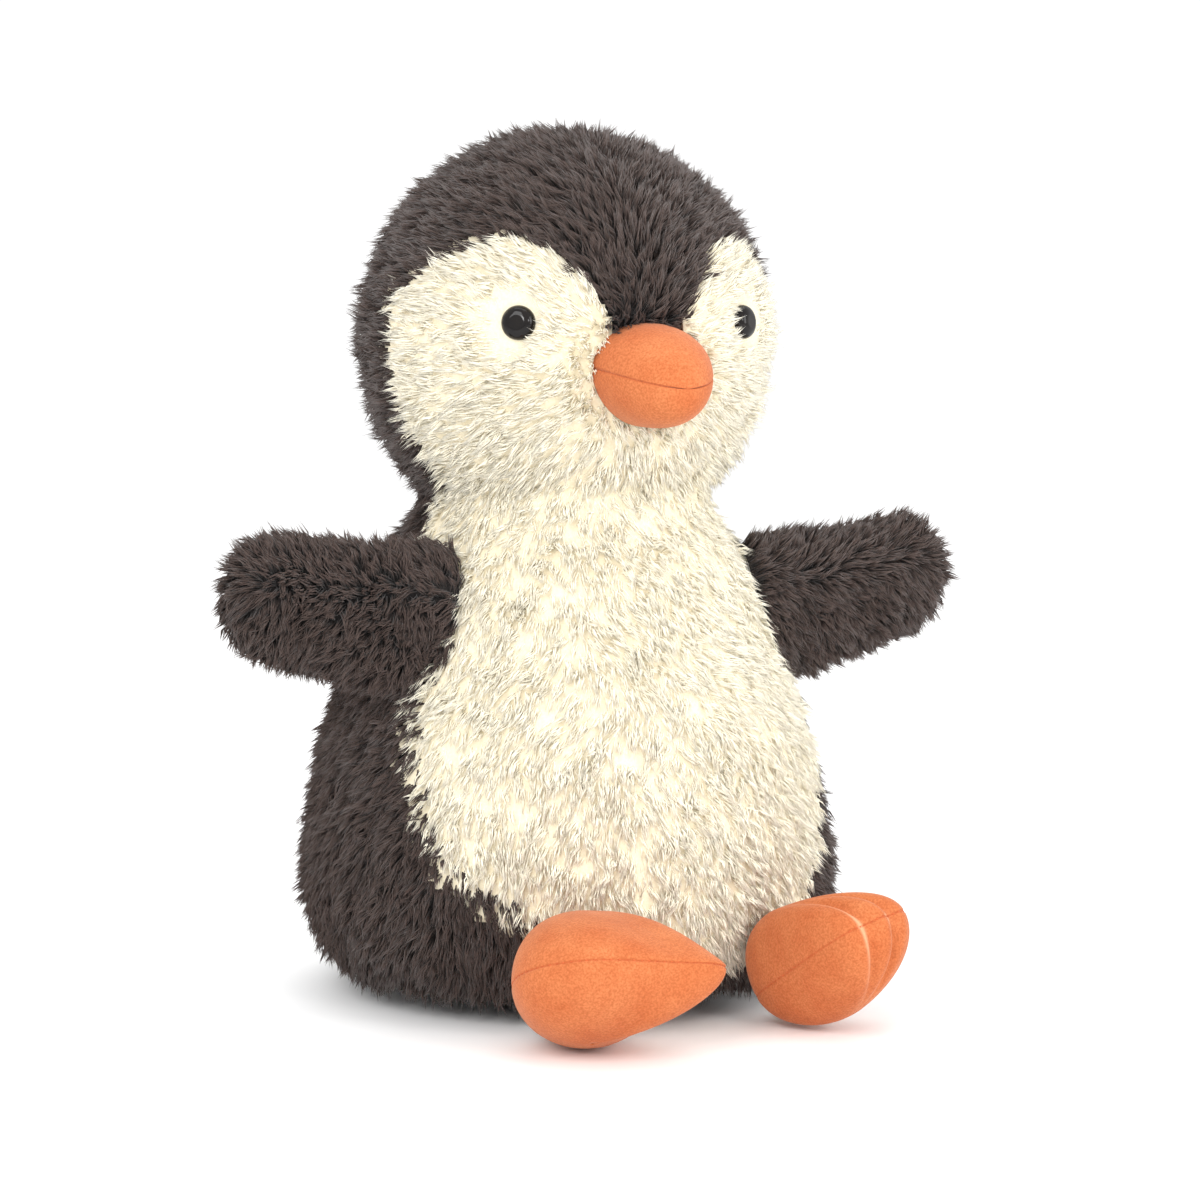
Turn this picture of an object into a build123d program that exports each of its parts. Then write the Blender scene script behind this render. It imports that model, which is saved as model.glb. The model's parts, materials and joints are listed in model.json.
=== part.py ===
from build123d import *
import math
import os

# A seated plush penguin, in millimetres. It faces -Y with +Z up, and its origin is the
# centre of the flat seat that rests on the floor. Its own left side is +X.
# Every plush skin is modelled to the middle of its pile, which stands a little prouder.

# Driving dimensions
plush = 3.5  # pile and backing cloth of the fur fabric
suede = 1.2  # microfibre suede of the beak and feet
ease = 0.3  # gap between a skin and the stuffing inside it
seam_gap = 0.4  # gap between two bodies that move on each other

seat_radius = 48
body_width = 142.4
body_top = 135.6
neck_radius = 40
gusset_height = 8  # the dark base gusset turns up this far at the bottom edge

neck_pivot_height = 112
neck_ball_radius = 47.6

head_radius = 55.5
head_height = 172.5

eye_radius = 4.4
eye_height = 3.4
eye_azimuth = 36.5
eye_level = 5
eye_seat_radius = 52  # distance of the eye's flange from the head's centre
shank_radius = 2
shank_length = 10
washer_radius = 5.5
washer_thickness = 1.2

beak_height = 164
beak_half_height = 12.8
beak_widening = 1.21  # the beak is this much wider than it is high
beak_tip = 76  # distance of the beak's tip in front of the body's axis

wing_pivot = (68.5, -21.5, 106)
wing_root_radius = 15.5
wing_half_chord = 17
wing_reach = 35
wing_thinning = 0.55  # the wing is this much thinner than it is deep
wing_rise = 8  # degrees that the wing points above level
wing_ball_radius = 5.5

heel = (28, -74.5, 11.5)
heel_radius = 11.5
toe_radius = 9
foot_splay = 17
foot_tilt = 24
toe_angles = (-36, 0, 32)  # inner, middle and outer toe, from the foot's own axis
toe_lengths = (29, 28, 26)

pouch_radius = 46
pouch_bottom = 6
pouch_thickness = 20
pouch_cloth = 1

head_centre = (0, 0, head_height)
neck_pivot = (0, 0, neck_pivot_height)
body_side = body_width / 2
sides = {"left": 1, "right": -1}

os.makedirs("parts", exist_ok=True)


def save(sub_part, node):
    """Labels a finished sub-part and writes it as its own STEP file."""
    sub_part.part.label = node
    export_step(sub_part.part, f"parts/{node}.step")


def body_solid(inset, top, mode=Mode.ADD):
    """The pear-shaped body, shrunk by inset all round and cut level at the height top."""
    with BuildSketch(Plane.XZ) as profile:
        with BuildLine():
            flank = Spline(
                (seat_radius - inset, inset),
                (0.86 * body_side - inset, 6.5 + 0.8 * inset),
                (0.97 * body_side - inset, 18 + 0.6 * inset),
                (body_side - inset, 34),
                (0.965 * body_side - inset, 53),
                (0.885 * body_side - inset, 77),
                (0.76 * body_side - inset, 101),
                (0.645 * body_side - inset, 119.5),
                (neck_radius + 0.8 - inset, top - 7),
                (neck_radius - inset, top),
            )
            Line(flank @ 1, (0, top))
            Line((0, top), (0, inset))
            Line((0, inset), flank @ 0)
        make_face()
    revolve(profile.sketch, axis=Axis.Z, mode=mode)


def body_shell():
    """The whole plush skin of the body, open at the neck."""
    body_solid(0, body_top)
    body_solid(plush, body_top + 1, mode=Mode.SUBTRACT)


def tummy_prism(mode):
    """Everything in front of the body that lies inside the tummy's seam line."""
    with BuildSketch(Plane.XZ) as profile:
        with BuildLine():
            seam = Spline(
                (24, gusset_height - 1),
                (40, 23),
                (54, 36),
                (59, 62),
                (52.5, 92),
                (44, 117),
                (39.5, body_top + 2),
                tangents=((1, 0.2), (-0.1, 1)),
            )
            Line(seam @ 1, (0, body_top + 2))
            Line((0, gusset_height - 1), seam @ 0)
            mirror(about=Plane.YZ)
        make_face()
    extrude(profile.sketch, amount=body_width, mode=mode)


def head_solid(inset, mode=Mode.ADD):
    """The round head, shrunk by inset."""
    with Locations(head_centre):
        Sphere(head_radius - inset, mode=mode)


def neck_hollow():
    """Hollows the head out under the chin, so that it rocks on the neck's ball."""
    with Locations(neck_pivot):
        Sphere(neck_ball_radius + seam_gap, mode=Mode.SUBTRACT)


def face_prism(mode):
    """Everything in front of the head that lies inside the two cheeks' seam lines."""
    with BuildSketch(Plane.XZ) as profile:
        with BuildLine():
            cheek = Spline(
                (9.5, 174),
                (13.5, 184),
                (22, 195.5),
                (31.5, 199.5),
                (43, 195),
                (51, 184),
                (54, 168),
                (51, 151),
                (40, 130),
                tangents=((0.1, 1), (-0.5, -1)),
            )
            Line(cheek @ 1, (0, 130))
            Line((0, 164), cheek @ 0)
            mirror(about=Plane.YZ)
        make_face()
    extrude(profile.sketch, amount=2 * head_radius, mode=mode)


def eye_plane(side, distance):
    """A plane square to one eye's axis, at a distance from the head's centre."""
    turn = math.radians(eye_azimuth)
    rise = math.radians(eye_level)
    outward = Vector(
        side * math.sin(turn) * math.cos(rise),
        -math.cos(turn) * math.cos(rise),
        math.sin(rise),
    )
    return Plane(origin=Vector(*head_centre) + outward * distance, z_dir=outward)


def eye_cut(side, radius, low, high):
    """Cuts a round hole along one eye's axis between two distances from the centre."""
    with BuildSketch(eye_plane(side, low)) as profile:
        Circle(radius)
    extrude(profile.sketch, amount=high - low, mode=Mode.SUBTRACT)


def beak_solid(inset, mode=Mode.ADD):
    """The blunt beak, shrunk by inset, with its root inside the head."""
    with BuildSketch(Plane(origin=(0, 0, beak_height), x_dir=(0, -1, 0), z_dir=(-1, 0, 0))) as profile:
        with BuildLine():
            ridge = Spline(
                (44, beak_half_height - inset),
                (54, beak_half_height - 0.5 - inset),
                (66, 0.78 * beak_half_height - inset),
                (beak_tip - inset, 0),
                tangents=((1, 0), (0, -1)),
            )
            Line(ridge @ 1, (44, 0))
            Line((44, 0), ridge @ 0)
        make_face()
    revolve(profile.sketch, axis=Axis((0, 0, beak_height), (0, -1, 0)), mode=mode)


def beak_shell():
    """The whole suede skin of the beak, trimmed to the surface of the face."""
    beak_solid(0)
    beak_solid(suede, mode=Mode.SUBTRACT)
    scale(by=(beak_widening, 1, 1))
    head_solid(0, mode=Mode.SUBTRACT)


def wing_plane(side):
    """The wing's own plane: X runs from the root to the tip, and Y is up."""
    rise = math.radians(wing_rise)
    return Plane(
        origin=(0, 0, 0),
        x_dir=(side * math.cos(rise), 0, math.sin(rise)),
        z_dir=(0, -side, 0),
    )


def wing_solid(side, inset, turn=360, spin=1, mode=Mode.ADD):
    """A round paddle about the world origin, shrunk by inset: whole, or one half of it."""
    root = wing_root_radius - inset
    plane = wing_plane(side)
    with BuildSketch(plane) as profile:
        with BuildLine():
            ThreePointArc((-root, 0), (-root * math.sqrt(0.5), root * math.sqrt(0.5)), (0, root))
            edge = Spline(
                (0, root),
                (0.5 * wing_reach, wing_half_chord - inset),
                (0.85 * wing_reach, 0.8 * wing_half_chord - inset),
                (wing_reach - inset, 0),
                tangents=((1, 0), (0, -1)),
            )
            Line(edge @ 1, (-root, 0))
        make_face()
    axis = Axis((0, 0, 0), plane.x_dir * spin)
    revolve(profile.sketch, axis=axis, revolution_arc=turn, mode=mode)


def thin_wing():
    """Flattens the paddle, which is round so far, from front to back."""
    scale(by=(1, wing_thinning, 1))


def foot_plane(side, angle):
    """The plane of one toe: X runs from the heel's centre to the toe, and Z is the foot's up."""
    splay = math.radians(foot_splay)
    tilt = math.radians(foot_tilt)
    ahead = Vector(side * math.sin(splay), -math.cos(splay), 0)
    forward = ahead * math.cos(tilt) + Vector(0, 0, 1) * math.sin(tilt)
    normal = Vector(0, 0, 1) * math.cos(tilt) - ahead * math.sin(tilt)
    foot = Plane(origin=(side * heel[0], heel[1], heel[2]), x_dir=forward, z_dir=normal)
    return foot.rotated((0, 0, side * angle))


def foot_solid(side, inset, mode=Mode.ADD):
    """Three tapered toes that spread from one round heel, shrunk by inset."""
    for angle, length in zip(toe_angles, toe_lengths):
        plane = foot_plane(side, angle)
        thick = (heel_radius if angle == 0 else heel_radius - 0.6) - inset
        thin = toe_radius - inset
        slope = math.asin((thick - thin) / length)
        across, along = math.cos(slope), math.sin(slope)
        with BuildSketch(plane) as profile:
            with BuildLine():
                ThreePointArc(
                    (-thick, 0),
                    (-thick * math.sqrt(0.5), thick * math.sqrt(0.5)),
                    (thick * along, thick * across),
                )
                Line((thick * along, thick * across), (length + thin * along, thin * across))
                ThreePointArc(
                    (length + thin * along, thin * across),
                    (length + thin * math.sqrt(0.5), thin * math.sqrt(0.5)),
                    (length + thin, 0),
                )
                Line((length + thin, 0), (-thick, 0))
            make_face()
        revolve(profile.sketch, axis=Axis(plane.origin, plane.x_dir), mode=mode)


def pouch_solid(inset, mode=Mode.ADD):
    """The flat round bag of pellets in the seat, shrunk by inset."""
    low = pouch_bottom + inset
    high = pouch_bottom + pouch_thickness - inset
    middle = (low + high) / 2
    edge = pouch_radius - pouch_thickness / 2
    with BuildSketch(Plane.XZ) as profile:
        with BuildLine():
            Line((0, low), (edge, low))
            ThreePointArc((edge, low), (pouch_radius - inset, middle), (edge, high))
            Line((edge, high), (0, high))
            Line((0, high), (0, low))
        make_face()
    revolve(profile.sketch, axis=Axis.Z, mode=mode)


# Body: a cream tummy, two dark back panels and a dark base gusset around the stuffing
with BuildPart() as tummy_panel:
    body_shell()
    tummy_prism(Mode.INTERSECT)
    split(bisect_by=Plane.XY.offset(gusset_height), keep=Keep.TOP)
save(tummy_panel, "tummy_panel")

for name, side in sides.items():
    with BuildPart() as back_panel:
        body_shell()
        tummy_prism(Mode.SUBTRACT)
        split(bisect_by=Plane.XY.offset(gusset_height), keep=Keep.TOP)
        split(bisect_by=Plane.YZ, keep=Keep.TOP if side > 0 else Keep.BOTTOM)
    save(back_panel, f"back_panel_{name}")

with BuildPart() as base_panel:
    body_shell()
    split(bisect_by=Plane.XY.offset(gusset_height), keep=Keep.BOTTOM)
save(base_panel, "base_panel")

with BuildPart() as body_stuffing:
    body_solid(plush + ease, body_top)
    pouch_solid(-ease, mode=Mode.SUBTRACT)
save(body_stuffing, "body_stuffing")

with BuildPart() as bean_pouch:
    pouch_solid(0)
    pouch_solid(pouch_cloth, mode=Mode.SUBTRACT)
save(bean_pouch, "bean_pouch")

with BuildPart() as bean_fill:
    pouch_solid(pouch_cloth + ease)
save(bean_fill, "bean_fill")

# Neck: a domed plug of stuffing that turns on the body and carries the head
with BuildPart() as neck_stuffing:
    with Locations(neck_pivot):
        Sphere(neck_ball_radius)
    split(bisect_by=Plane.XY.offset(body_top + seam_gap), keep=Keep.TOP)
save(neck_stuffing, "neck_stuffing")

# Head: two dark crown panels that meet in a seam, and two cream cheeks with a hole for each eye
for name, side in sides.items():
    half = Keep.TOP if side > 0 else Keep.BOTTOM
    with BuildPart() as crown_panel:
        head_solid(0)
        head_solid(plush, mode=Mode.SUBTRACT)
        face_prism(Mode.SUBTRACT)
        neck_hollow()
        split(bisect_by=Plane.YZ, keep=half)
    save(crown_panel, f"crown_panel_{name}")

    with BuildPart() as face_panel:
        head_solid(0)
        head_solid(plush, mode=Mode.SUBTRACT)
        face_prism(Mode.INTERSECT)
        neck_hollow()
        split(bisect_by=Plane.YZ, keep=half)
        eye_cut(side, shank_radius + 0.1, eye_seat_radius - 2 * plush, eye_seat_radius)
        eye_cut(side, eye_radius + 0.2, eye_seat_radius, head_radius + plush)
    save(face_panel, f"face_panel_{name}")

    with BuildPart() as eye:
        with BuildSketch(eye_plane(side, eye_seat_radius)):
            Circle(eye_radius)
        extrude(amount=eye_height)
        rim = eye.edges().filter_by(GeomType.CIRCLE)
        outside = eye_plane(side, 2 * head_radius).origin
        fillet(rim.sort_by_distance(outside)[0], eye_height - 0.8)
        with BuildSketch(eye_plane(side, eye_seat_radius - shank_length)):
            Circle(shank_radius)
        extrude(amount=shank_length)
    save(eye, f"eye_{name}")

    with BuildPart() as eye_washer:
        washer_seat = head_radius - plush - ease - washer_thickness
        with BuildSketch(eye_plane(side, washer_seat)):
            Circle(washer_radius)
            Circle(shank_radius + 0.05, mode=Mode.SUBTRACT)
        extrude(amount=washer_thickness)
    save(eye_washer, f"eye_washer_{name}")

with BuildPart() as head_stuffing:
    head_solid(plush + ease)
    neck_hollow()
    for side in sides.values():
        eye_cut(side, washer_radius + ease, eye_seat_radius - shank_length - 1, head_radius)
save(head_stuffing, "head_stuffing")

# Beak: an upper and a lower suede skin that meet in a level seam
with BuildPart() as beak_upper:
    beak_shell()
    split(bisect_by=Plane.XY.offset(beak_height), keep=Keep.TOP)
save(beak_upper, "beak_upper")

with BuildPart() as beak_lower:
    beak_shell()
    split(bisect_by=Plane.XY.offset(beak_height), keep=Keep.BOTTOM)
save(beak_lower, "beak_lower")

with BuildPart() as beak_stuffing:
    beak_solid(suede + ease)
    scale(by=(beak_widening, 1, 1))
    head_solid(-ease, mode=Mode.SUBTRACT)
save(beak_stuffing, "beak_stuffing")

# Wings: a front and a back skin around stuffing, which swings on a small ball at its root
for name, side in sides.items():
    at_pivot = Location((side * wing_pivot[0], wing_pivot[1], wing_pivot[2]))

    with BuildPart() as wing_root_stuffing:
        Sphere(wing_ball_radius)
    wing_root_stuffing.part.locate(at_pivot)
    save(wing_root_stuffing, f"wing_{name}_root_stuffing")

    for face, spin in {"front": side, "back": -side}.items():
        with BuildPart() as wing_skin:
            wing_solid(side, 0, 180, spin)
            wing_solid(side, plush - 1, 180, spin, mode=Mode.SUBTRACT)
            thin_wing()
        wing_skin.part.locate(at_pivot)
        save(wing_skin, f"wing_{name}_{face}")

    with BuildPart() as wing_stuffing:
        wing_solid(side, plush - 1 + ease)
        thin_wing()
        Sphere(wing_ball_radius + seam_gap, mode=Mode.SUBTRACT)
    wing_stuffing.part.locate(at_pivot)
    save(wing_stuffing, f"wing_{name}_stuffing")

# Feet: an upper and a sole of suede, sewn together around three stuffed toes
for name, side in sides.items():
    for skin, keep in {"upper": Keep.TOP, "sole": Keep.BOTTOM}.items():
        with BuildPart() as foot_skin:
            foot_solid(side, 0)
            foot_solid(side, suede, mode=Mode.SUBTRACT)
            split(bisect_by=foot_plane(side, 0), keep=keep)
        save(foot_skin, f"foot_{name}_{skin}")

    with BuildPart() as foot_stuffing:
        foot_solid(side, suede + ease)
    save(foot_stuffing, f"foot_{name}_stuffing")
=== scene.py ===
import json
import math

import bmesh
import bpy
import numpy as np
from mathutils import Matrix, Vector
from mathutils.bvhtree import BVHTree


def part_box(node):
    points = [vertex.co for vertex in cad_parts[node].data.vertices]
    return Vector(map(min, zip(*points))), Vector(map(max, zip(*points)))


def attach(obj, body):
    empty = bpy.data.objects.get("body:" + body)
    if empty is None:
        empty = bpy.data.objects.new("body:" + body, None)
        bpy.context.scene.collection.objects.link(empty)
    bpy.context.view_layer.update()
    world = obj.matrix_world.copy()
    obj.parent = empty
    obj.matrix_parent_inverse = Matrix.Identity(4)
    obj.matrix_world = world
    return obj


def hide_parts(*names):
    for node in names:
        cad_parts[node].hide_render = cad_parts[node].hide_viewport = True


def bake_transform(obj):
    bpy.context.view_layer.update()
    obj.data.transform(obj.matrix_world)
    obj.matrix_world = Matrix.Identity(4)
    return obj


# A seated plush penguin: woven backing cloth under a clumped fur pile, brushed suede beak
# and feet, and glossy safety eyes. It faces -Y, and its own left side is +X. Metres.
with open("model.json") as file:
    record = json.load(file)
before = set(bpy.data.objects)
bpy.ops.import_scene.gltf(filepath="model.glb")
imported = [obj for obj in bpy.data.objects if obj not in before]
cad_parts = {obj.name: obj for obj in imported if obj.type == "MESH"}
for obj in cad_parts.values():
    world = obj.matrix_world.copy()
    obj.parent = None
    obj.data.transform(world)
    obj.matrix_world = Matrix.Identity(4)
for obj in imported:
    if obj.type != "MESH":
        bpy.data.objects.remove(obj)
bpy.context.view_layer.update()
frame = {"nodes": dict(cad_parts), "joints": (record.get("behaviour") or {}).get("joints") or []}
nodes = frame["nodes"]
joints = {joint["name"]: joint for joint in frame["joints"]}
sides = {"left": 1, "right": -1}
rng = np.random.default_rng(23)

MM = 0.001
pile_depth = 4.8 * MM  # how far the backing cloth lies under the tips of the pile
cloth_thickness = 0.6 * MM
lock_spacing = 1.5 * MM
strands_per_lock = 9
strand_radius = 0.18 * MM  # at its thickest, half-way along
triangles_per_strand = 10
# a piece with more than this is thinned out when it is exported
triangle_limit = 190000  # the most faces that one fur piece may hold

# ---------------------------------------------------------------- camera, floor, lights


def make_camera():
    """A long lens at about eye level, seen from the penguin's right front."""
    azimuth, elevation, distance = math.radians(-24), math.radians(5), 0.933
    back = Vector((
        math.sin(azimuth) * math.cos(elevation),
        -math.cos(azimuth) * math.cos(elevation),
        math.sin(elevation),
    ))
    right = Vector((math.cos(azimuth), math.sin(azimuth), 0))
    aim_height, aim_right = 0.103, 0.009
    target = Vector((0, 0, aim_height)) + right * aim_right
    camera = bpy.data.objects.new("camera", bpy.data.cameras.new("camera"))
    camera.data.lens = 105
    camera.data.sensor_width = 36
    camera.location = target + back * distance
    camera.rotation_mode = "QUATERNION"
    camera.rotation_quaternion = (-back).to_track_quat("-Z", "Y")
    bpy.context.scene.collection.objects.link(camera)
    bpy.context.scene.camera = camera


def add_softbox(name, place, aim, size, watts):
    light = bpy.data.lights.new(name, "AREA")
    light.shape = "RECTANGLE"
    light.size, light.size_y = size
    light.energy = watts
    box = bpy.data.objects.new(name, light)
    box.location = place
    direction = Vector(aim) - Vector(place)
    box.rotation_mode = "QUATERNION"
    box.rotation_quaternion = direction.to_track_quat("-Z", "Y")
    bpy.context.scene.collection.objects.link(box)


def make_studio():
    """White surroundings, two front softboxes, one overhead, and two small front lamps whose
    reflections are the catch lights in the eyes."""
    world = bpy.data.worlds.new("studio")
    world.use_nodes = True
    background = world.node_tree.nodes["Background"]
    background.inputs["Color"].default_value = (1, 1, 1, 1)
    background.inputs["Strength"].default_value = 1.06
    bpy.context.scene.world = world
    tummy, face = (0, 0, 0.12), (0, 0, 0.17)
    add_softbox("softbox_left", (-0.75, -0.7, 0.75), tummy, (0.5, 0.7), 6.0)
    add_softbox("softbox_right", (0.75, -0.9, 0.5), tummy, (0.5, 0.7), 5.5)
    add_softbox("small_left", (-0.66, -0.79, 0.45), face, (0.15, 0.15), 1.1)
    add_softbox("small_right", (0.2, -1.0, 0.45), face, (0.15, 0.15), 1.1)
    add_softbox("softbox_top", (0.1, 0.1, 1.1), (0, 0, 0.1), (0.8, 0.8), 3.0)
    bpy.context.scene.view_settings.view_transform = "Standard"
    floor_mesh = bpy.data.meshes.new("floor")
    reach = 6.0
    corners = [(-reach, -reach, 0), (reach, -reach, 0), (reach, reach, 0), (-reach, reach, 0)]
    floor_mesh.from_pydata(corners, [], [(0, 1, 2, 3)])
    floor = bpy.data.objects.new("floor", floor_mesh)
    bpy.context.scene.collection.objects.link(floor)
    floor.data.materials.append(plain_material("floor_white", (0.98, 0.98, 0.98), 0.6))


# ---------------------------------------------------------------- materials


def plain_material(name, colour, roughness):
    material = bpy.data.materials.new(name)
    material.use_nodes = True
    shader = material.node_tree.nodes["Principled BSDF"]
    shader.inputs["Base Color"].default_value = (*colour, 1)
    shader.inputs["Roughness"].default_value = roughness
    return material


def ramp_node(tree, stops):
    ramp = tree.nodes.new("ShaderNodeValToRGB")
    elements = ramp.color_ramp.elements
    while len(elements) < len(stops):
        elements.new(0.5)
    for element, (place, colour) in zip(elements, stops):
        element.position = place
        element.color = (*colour, 1)
    return ramp


def mix_colour(tree, kind, factor, first, second):
    """A colour mix node; factor, first and second are sockets or plain values."""
    mix = tree.nodes.new("ShaderNodeMix")
    mix.data_type = "RGBA"
    mix.blend_type = kind
    for socket, value in ((mix.inputs[0], factor), (mix.inputs[6], first), (mix.inputs[7], second)):
        if isinstance(value, bpy.types.NodeSocket):
            tree.links.new(value, socket)
        else:
            socket.default_value = value
    return mix.outputs[2]


def fur_material(name, along, tints, sheen):
    """Fur coloured along each strand from root to tip, darker towards the root as painted shade in
    the gaps between locks, with a tint of its own per strand. The strands' UV map holds the tint
    across and the place along the strand upwards."""
    material = plain_material(name, tints[0][1], 0.85)
    tree = material.node_tree
    shader = tree.nodes["Principled BSDF"]
    uv = tree.nodes.new("ShaderNodeUVMap")
    uv.uv_map = "OFBake"
    split = tree.nodes.new("ShaderNodeSeparateXYZ")
    tree.links.new(uv.outputs[0], split.inputs[0])
    # The ramp along each strand is painted shade: darker at the root, where the locks shade each
    # other.
    length_ramp = ramp_node(tree, along)
    tint_ramp = ramp_node(tree, tints)
    tree.links.new(split.outputs[1], length_ramp.inputs[0])
    tree.links.new(split.outputs[0], tint_ramp.inputs[0])
    colour = mix_colour(tree, "MULTIPLY", 1.0, length_ramp.outputs[0], tint_ramp.outputs[0])
    tree.links.new(colour, shader.inputs["Base Color"])
    shader.inputs["Sheen Weight"].default_value = sheen
    shader.inputs["Sheen Roughness"].default_value = 0.5
    shader.inputs["Specular IOR Level"].default_value = 0.25
    return material


def cloth_material(name, colour, thread):
    """A fine two-tone speckle, for knitted cloth, thread, fibre, pellets and plain plastic."""
    material = plain_material(name, colour, 0.95)
    tree = material.node_tree
    shader = tree.nodes["Principled BSDF"]
    place = tree.nodes.new("ShaderNodeTexCoord")
    noise = tree.nodes.new("ShaderNodeTexNoise")
    noise.inputs["Scale"].default_value = 1500
    tree.links.new(place.outputs["Object"], noise.inputs["Vector"])
    ramp = ramp_node(tree, [(0.35, thread), (0.65, colour)])
    tree.links.new(noise.outputs[0], ramp.inputs[0])
    tree.links.new(ramp.outputs[0], shader.inputs["Base Color"])
    return material


def suede_material(name):
    """Brushed microfibre suede: mottled nap, darker along the seam as painted shade, paler beside
    the toe creases as a painted highlight, soft sheen.
    """
    material = plain_material(name, (0.86, 0.26, 0.085), 0.85)
    tree = material.node_tree
    shader = tree.nodes["Principled BSDF"]
    place = tree.nodes.new("ShaderNodeTexCoord")
    blotch = tree.nodes.new("ShaderNodeTexNoise")
    blotch.inputs["Scale"].default_value = 110
    blotch.inputs["Detail"].default_value = 3
    nap = tree.nodes.new("ShaderNodeTexNoise")
    nap.inputs["Scale"].default_value = 1900
    nap.inputs["Detail"].default_value = 4
    for noise in (blotch, nap):
        tree.links.new(place.outputs["Object"], noise.inputs["Vector"])
    # The first colour is painted shade along the seam's groove, the second a painted highlight on
    # the edge beside each toe crease.
    seam_shade, ridge_highlight_colour = (0.42, 0.085, 0.025, 1), (0.98, 0.52, 0.30, 1)
    wide = ramp_node(tree, [(0.3, (0.53, 0.145, 0.047)), (0.7, (0.60, 0.195, 0.072))])
    fine = ramp_node(tree, [(0.36, (0.76, 0.66, 0.58)), (0.64, (1.0, 1.0, 1.0))])
    tree.links.new(blotch.outputs[0], wide.inputs[0])
    tree.links.new(nap.outputs[0], fine.inputs[0])
    colour = mix_colour(tree, "MULTIPLY", 1.0, wide.outputs[0], fine.outputs[0])
    seam, ridge_highlight = (tree.nodes.new("ShaderNodeAttribute") for _ in range(2))
    seam.attribute_name, ridge_highlight.attribute_name = "seam", "ridge_highlight"
    # Darker along the seam: painted shade.
    shade = ramp_node(tree, [(0.0, (0, 0, 0)), (1.0, (0.6, 0.6, 0.6))])
    tree.links.new(seam.outputs["Fac"], shade.inputs[0])
    colour = mix_colour(tree, "MIX", shade.outputs[0], colour, seam_shade)
    # Paler beside the toe creases: a painted highlight.
    pale = ramp_node(tree, [(0.1, (0, 0, 0)), (0.95, (0.55, 0.55, 0.55))])
    tree.links.new(ridge_highlight.outputs["Fac"], pale.inputs[0])
    colour = mix_colour(tree, "MIX", pale.outputs[0], colour, ridge_highlight_colour)
    tree.links.new(colour, shader.inputs["Base Color"])
    bump = tree.nodes.new("ShaderNodeBump")
    bump.inputs["Strength"].default_value = 0.6
    bump.inputs["Distance"].default_value = 0.0003
    tree.links.new(nap.outputs[0], bump.inputs["Height"])
    tree.links.new(bump.outputs[0], shader.inputs["Normal"])
    shader.inputs["Sheen Weight"].default_value = 0.2
    shader.inputs["Sheen Roughness"].default_value = 0.4
    shader.inputs["Sheen Tint"].default_value = (1.0, 0.75, 0.6, 1)
    shader.inputs["Specular IOR Level"].default_value = 0.2
    return material


def eye_material():
    """Polished black plastic."""
    material = plain_material("eye_black", (0.006, 0.005, 0.005), 0.08)
    tree = material.node_tree
    shader = tree.nodes["Principled BSDF"]
    place = tree.nodes.new("ShaderNodeTexCoord")
    noise = tree.nodes.new("ShaderNodeTexNoise")
    noise.inputs["Scale"].default_value = 300
    tree.links.new(place.outputs["Object"], noise.inputs["Vector"])
    ramp = ramp_node(tree, [(0.3, (0.005, 0.004, 0.004)), (0.7, (0.009, 0.007, 0.006))])
    tree.links.new(noise.outputs[0], ramp.inputs[0])
    tree.links.new(ramp.outputs[0], shader.inputs["Base Color"])
    shader.inputs["Specular IOR Level"].default_value = 0.25
    return material


# ---------------------------------------------------------------- surfaces


def unit(vectors):
    return vectors / np.maximum(np.linalg.norm(vectors, axis=-1, keepdims=True), 1e-12)


def tree_of(*names):
    """A BVH tree of some CAD nodes' meshes."""
    points, faces = [], []
    for name in names:
        mesh = nodes[name].data
        start = len(points)
        points += [vertex.co.copy() for vertex in mesh.vertices]
        faces += [[start + index for index in face.vertices] for face in mesh.polygons]
    return BVHTree.FromPolygons(points, faces)


def nearest_node(points, names):
    """For each point, the index of the CAD node that lies nearest."""
    gaps = []
    for name in names:
        tree = tree_of(name)
        gaps.append([tree.find_nearest(Vector(point))[3] for point in points])
    return np.argmin(np.array(gaps), axis=0)


def sway(points, scale, seed):
    """Smooth noise: a vector from -1 to 1 for each point, varying over about scale metres."""
    local = np.random.default_rng(seed)
    total = np.zeros_like(points)
    for octave in (1.0, 2.1):
        waves = unit(local.normal(size=(9, 3))) * octave * 2 * math.pi / scale
        phases = local.uniform(0, 2 * math.pi, 9)
        pushes = unit(local.normal(size=(9, 3)))
        total += np.sin(points @ waves.T + phases) @ pushes / (3 * octave)
    return total


def grid_surface(points):
    """Vertices and quads of a grid of points, closed round its second direction."""
    rows, columns = points.shape[:2]
    index = np.arange(rows * columns).reshape(rows, columns)
    around = np.roll(index, -1, axis=1)
    quads = np.stack([index[:-1], around[:-1], around[1:], index[1:]], axis=-1).reshape(-1, 4)
    return points.reshape(-1, 3), quads


def mesh_object(name, points, faces, smooth=True):
    mesh = bpy.data.meshes.new(name)
    mesh.from_pydata([tuple(point) for point in points], [], [tuple(face) for face in faces])
    mesh.validate()
    if smooth:
        mesh.shade_smooth()
    piece = bpy.data.objects.new(name, mesh)
    bpy.context.scene.collection.objects.link(piece)
    return piece


def apply_modifiers(piece):
    bpy.context.view_layer.update()
    graph = bpy.context.evaluated_depsgraph_get()
    mesh = bpy.data.meshes.new_from_object(piece.evaluated_get(graph))
    piece.modifiers.clear()
    old = piece.data
    piece.data = mesh
    bpy.data.meshes.remove(old)


def panel_cloth(name, points, quads, chosen, material):
    """One cut panel of a surface as a closed sheet of backing cloth."""
    faces = quads[chosen]
    used, faces = np.unique(faces, return_inverse=True)
    piece = mesh_object(name, points[used], faces.reshape(-1, 4))
    piece.data.materials.append(material)
    solid = piece.modifiers.new("thickness", "SOLIDIFY")
    solid.thickness = cloth_thickness
    solid.offset = -1
    apply_modifiers(piece)
    return piece


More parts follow.
